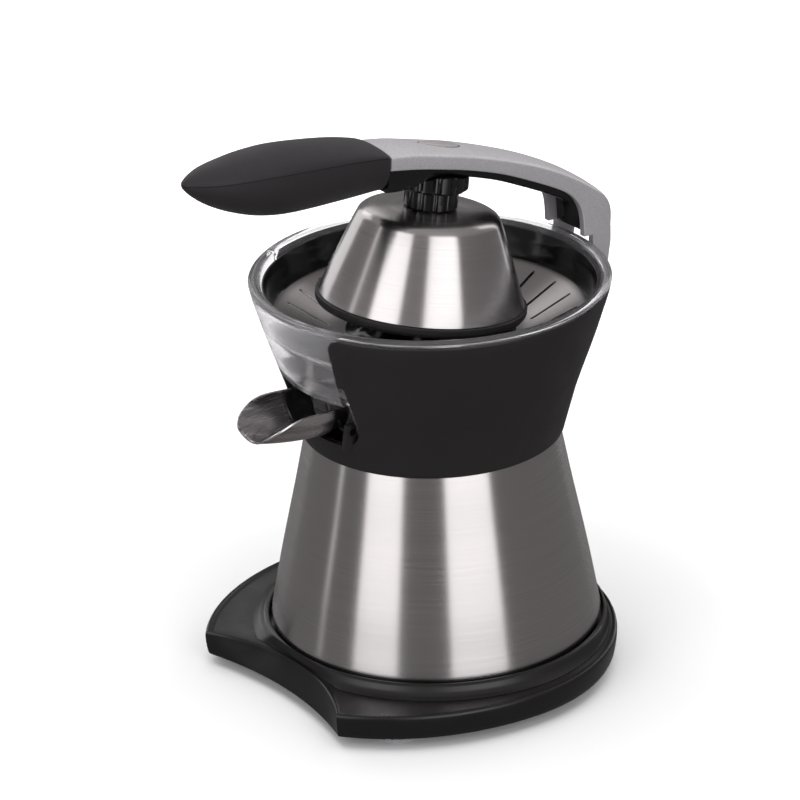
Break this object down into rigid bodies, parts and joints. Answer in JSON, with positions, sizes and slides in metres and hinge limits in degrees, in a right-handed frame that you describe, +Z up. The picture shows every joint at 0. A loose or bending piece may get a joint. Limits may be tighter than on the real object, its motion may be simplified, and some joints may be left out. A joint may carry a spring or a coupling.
{
  "type": "citrus press juicer",
  "caption": "Countertop electric citrus press: steel cone body on a shield-shaped base, clear bowl with strainer and reamer, spout, and a lever arm that carries a press dome.",
  "frame": {"origin": "middle of the object's box in X and Y, on the plane the feet stand on", "axes": "+Z up, -Y towards the spout and the handle's tip, X along the hinge pin with +X on the right of someone who faces the spout"},
  "size_m": [0.2214, 0.268, 0.3203],
  "materials": {
    "satin_black": "satin",
    "button_grey": "satin",
    "matte_black": "matte",
    "gloss_black": "gloss",
    "soft_black": "soft touch",
    "brushed_steel": "brushed",
    "silver_paint": "satin",
    "clear": "gloss",
    "grey_rubber": "matte",
    "bright_steel": "ground",
    "bronze": "satin",
    "copper": "satin",
    "nylon": "matte",
    "lamination": "matte"
  },
  "bodies": {
    "stand": {"base_plate": "satin_black", "bottom_cover": "matte_black", "cable_gland": "matte_black", "foot_front_left": "grey_rubber", "foot_front_right": "grey_rubber", "foot_rear_left": "grey_rubber", "foot_rear_right": "grey_rubber", "body_shell": "brushed_steel", "collar_housing": "matte_black", "juice_bowl": "clear", "strainer": "brushed_steel", "hinge_pin": "bright_steel", "motor_damper_1": "grey_rubber", "motor_damper_2": "grey_rubber", "motor_damper_3": "grey_rubber", "gear_plate": "lamination", "motor_bracket": "lamination", "motor_bearing_lower": "bronze", "motor_bearing_upper": "bronze", "motor_stator": "lamination", "winding_upper": "copper", "winding_lower": "copper", "gear_cover": "nylon", "layshaft": "bright_steel", "cover_bush": "bronze", "hub_bush": "bronze", "hub_seal": "grey_rubber", "return_spring": "bright_steel", "switch_body": "gloss_black"},
    "arm": {"arm_shell": "silver_paint", "arm_liner": "gloss_black", "post_liner": "gloss_black", "grip_top": "soft_black", "grip_bottom": "soft_black", "dome_socket": "gloss_black", "dome_boss": "gloss_black", "press_dome": "brushed_steel", "dome_liner": "matte_black"},
    "button": {"release_button": "button_grey", "release_rod": "bright_steel"},
    "thrust": {"thrust_cup": "nylon"},
    "spindle": {"drive_shaft": "bright_steel", "output_gear": "nylon", "shaft_clip": "bright_steel", "reamer": "gloss_black"},
    "rotor": {"motor_rotor": "lamination", "motor_pinion": "bright_steel", "cooling_fan": "nylon"},
    "cluster": {"cluster_gear": "nylon"},
    "switch": {"switch_plunger": "satin_black"},
    "spout": {"spout_root": "gloss_black", "spout_scoop": "brushed_steel"}
  },
  "joints": [
    {"name": "arm_hinge", "type": "hinge", "parent": "stand", "child": "arm", "pos_m": [0, 0.1242, 0.212], "axis": [-1, 0, 0], "range_deg": [-6, 80]},
    {"name": "button_press", "type": "slide", "parent": "arm", "child": "button", "axis": [0, -0.2622, -0.965], "range_m": [0, 0.0025], "stiffness_N_per_m": 600, "springref_m": -0.002},
    {"name": "press_travel", "type": "slide", "parent": "stand", "child": "thrust", "axis": [0, 0, -1], "range_m": [0, 0.0025], "stiffness_N_per_m": 2000, "springref_m": -0.003, "deforming": ["return_spring"]},
    {"name": "reamer_spin", "type": "hinge", "parent": "thrust", "child": "spindle", "pos_m": [0, 0.0212, 0.18], "axis": [0, 0, 1], "continuous": true},
    {"name": "rotor_spin", "type": "hinge", "parent": "stand", "child": "rotor", "pos_m": [0, 0.0212, 0.06], "axis": [0, 0, 1], "continuous": true},
    {"name": "cluster_spin", "type": "hinge", "parent": "stand", "child": "cluster", "pos_m": [0.03, 0.0212, 0.1], "axis": [0, 0, 1], "continuous": true},
    {"name": "switch_travel", "type": "slide", "parent": "stand", "child": "switch", "axis": [0, 0, -1], "range_m": [0, 0.0025]},
    {"name": "spout_tilt", "type": "hinge", "parent": "stand", "child": "spout", "pos_m": [0, -0.0498, 0.16], "axis": [-1, 0, 0], "range_deg": [-20, 12]}
  ],
  "couplings": [
    {"joint": "cluster_spin", "follows": "rotor_spin", "ratio": -0.25},
    {"joint": "reamer_spin", "follows": "rotor_spin", "ratio": 0.0625},
    {"joint": "switch_travel", "follows": "press_travel", "ratio": 1}
  ]
}
